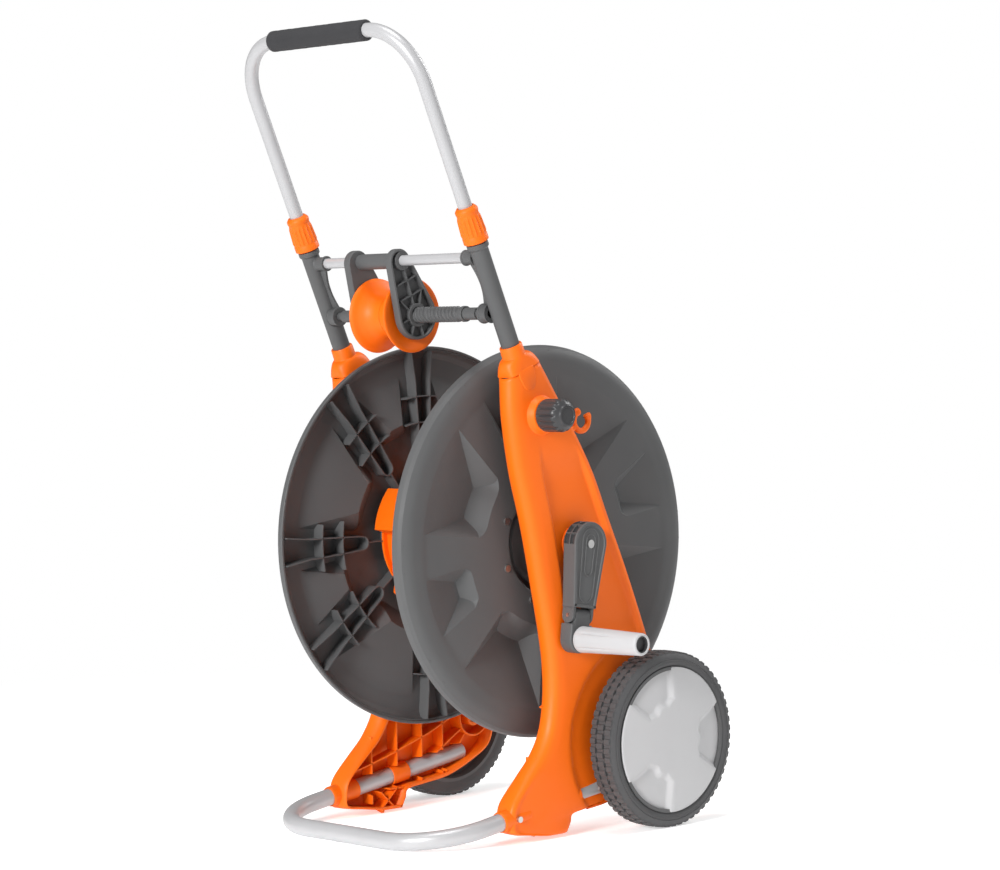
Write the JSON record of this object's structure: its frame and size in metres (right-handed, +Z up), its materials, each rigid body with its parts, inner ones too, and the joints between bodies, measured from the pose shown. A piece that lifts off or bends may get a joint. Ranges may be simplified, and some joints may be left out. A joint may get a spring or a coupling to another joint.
{
  "type": "garden hose reel cart",
  "caption": "Two-wheeled garden hose reel cart with a crank-driven drum between two flanges, a travelling hose guide, a telescopic handle and a tube foot.",
  "frame": {"origin": "on the floor, straight below the middle of the reel's axis", "axes": "+X towards the crank side along the reel's axis, +Y towards the wheels at the back, +Z up"},
  "size_m": [0.4854, 0.4714, 0.9164],
  "materials": {
    "orange_plastic": "orange moulded polypropylene, soft gloss",
    "dark_grey_plastic": "dark grey moulded polypropylene, fine grain",
    "light_grey_plastic": "light grey moulded plastic, satin",
    "black_plastic": "black glossy plastic",
    "bearing_plastic": "natural acetal",
    "silver_tube": "silver satin tube",
    "zinc_steel": "zinc plated steel",
    "foam": "charcoal foam sleeve",
    "tyre": "dark tread plastic",
    "seal_rubber": "black rubber ring"
  },
  "bodies": {
    "chassis": {"cross_tube": "silver_tube", "foot_screws": "zinc_steel", "foot_tube": "silver_tube", "guide_screw": "dark_grey_plastic", "hose_clip": "orange_plastic", "inlet_seal": "seal_rubber", "left_axle_clip": "zinc_steel", "left_collet": "bearing_plastic", "left_knob_boss": "orange_plastic", "left_post": "dark_grey_plastic", "left_post_cap": "orange_plastic", "left_post_tube": "silver_tube", "left_reel_bush": "bearing_plastic", "left_side_plate": "orange_plastic", "right_axle_clip": "zinc_steel", "right_collet": "bearing_plastic", "right_knob_boss": "orange_plastic", "right_post": "dark_grey_plastic", "right_post_cap": "orange_plastic", "right_post_tube": "silver_tube", "right_reel_bush": "bearing_plastic", "right_side_plate": "orange_plastic", "water_inlet": "black_plastic", "wheel_axle": "zinc_steel"},
    "reel": {"right_flange": "dark_grey_plastic", "left_flange": "dark_grey_plastic", "drum_core": "orange_plastic", "crank_shaft": "dark_grey_plastic", "inlet_pipe": "black_plastic", "water_elbow": "black_plastic", "hose_outlet": "black_plastic", "flange_screws": "zinc_steel", "crank_arm": "dark_grey_plastic", "crank_screw": "zinc_steel", "crank_fold_pin": "zinc_steel"},
    "crank_end": {"crank_tip": "dark_grey_plastic", "grip_pin": "zinc_steel"},
    "grip": {"crank_grip": "light_grey_plastic"},
    "handle": {"handle_tube": "silver_tube", "foam_grip": "foam", "right_handle_plug": "black_plastic", "left_handle_plug": "black_plastic"},
    "right_nut": {"right_lock_nut": "orange_plastic"},
    "left_nut": {"left_lock_nut": "orange_plastic"},
    "carriage": {"right_guide_plate": "dark_grey_plastic", "left_guide_plate": "dark_grey_plastic", "guide_bridge": "dark_grey_plastic"},
    "pulley": {"right_pulley_half": "orange_plastic", "left_pulley_half": "orange_plastic"},
    "right_wheel": {"right_tyre": "tyre", "right_wheel_disc": "dark_grey_plastic", "right_wheel_cover": "light_grey_plastic"},
    "right_knob": {"right_clamp_knob": "black_plastic", "right_clamp_stud": "zinc_steel"},
    "left_wheel": {"left_tyre": "tyre", "left_wheel_disc": "dark_grey_plastic", "left_wheel_cover": "light_grey_plastic"},
    "left_knob": {"left_clamp_knob": "black_plastic", "left_clamp_stud": "zinc_steel"}
  },
  "joints": [
    {"name": "reel_spin", "type": "hinge", "parent": "chassis", "child": "reel", "pos_m": [0, 0, 0.3315], "axis": [1, 0, 0], "continuous": true},
    {"name": "crank_fold", "type": "hinge", "parent": "reel", "child": "crank_end", "pos_m": [0.1695, -0.01283, 0.25051], "axis": [0, 0.9877, -0.1564], "range_deg": [-90, 0]},
    {"name": "grip_spin", "type": "hinge", "parent": "crank_end", "child": "grip", "pos_m": [0.17, -0.0169, 0.22483], "axis": [1, 0, 0], "continuous": true},
    {"name": "handle_slide", "type": "slide", "parent": "chassis", "child": "handle", "axis": [0, -0.3907, 0.9205], "range_m": [-0.14, 0]},
    {"name": "right_nut_turn", "type": "hinge", "parent": "chassis", "child": "right_nut", "pos_m": [0.145, -0.14261, 0.68808], "axis": [0, -0.3907, 0.9205], "range_deg": [0, 90]},
    {"name": "left_nut_turn", "type": "hinge", "parent": "chassis", "child": "left_nut", "pos_m": [-0.145, -0.14261, 0.68808], "axis": [0, -0.3907, 0.9205], "range_deg": [0, 90]},
    {"name": "carriage_slide", "type": "slide", "parent": "chassis", "child": "carriage", "axis": [1, 0, 0], "range_m": [-0.024, 0.078]},
    {"name": "pulley_spin", "type": "hinge", "parent": "carriage", "child": "pulley", "pos_m": [-0.027, -0.10663, 0.59308], "axis": [1, 0, 0], "range_deg": [-1000, 3000]},
    {"name": "right_wheel_spin", "type": "hinge", "parent": "chassis", "child": "right_wheel", "pos_m": [0.187, 0.102, 0.1015], "axis": [1, 0, 0], "continuous": true},
    {"name": "left_wheel_spin", "type": "hinge", "parent": "chassis", "child": "left_wheel", "pos_m": [-0.187, 0.102, 0.1015], "axis": [1, 0, 0], "continuous": true},
    {"name": "right_knob_turn", "type": "hinge", "parent": "chassis", "child": "right_knob", "pos_m": [0.17, -0.05352, 0.4782], "axis": [1, 0, 0], "range_deg": [0, 90]},
    {"name": "left_knob_turn", "type": "hinge", "parent": "chassis", "child": "left_knob", "pos_m": [-0.17, -0.05352, 0.4782], "axis": [1, 0, 0], "range_deg": [0, 90]}
  ],
  "couplings": [
    {"joint": "pulley_spin", "follows": "carriage_slide", "rad_per_m": 523.6}
  ]
}
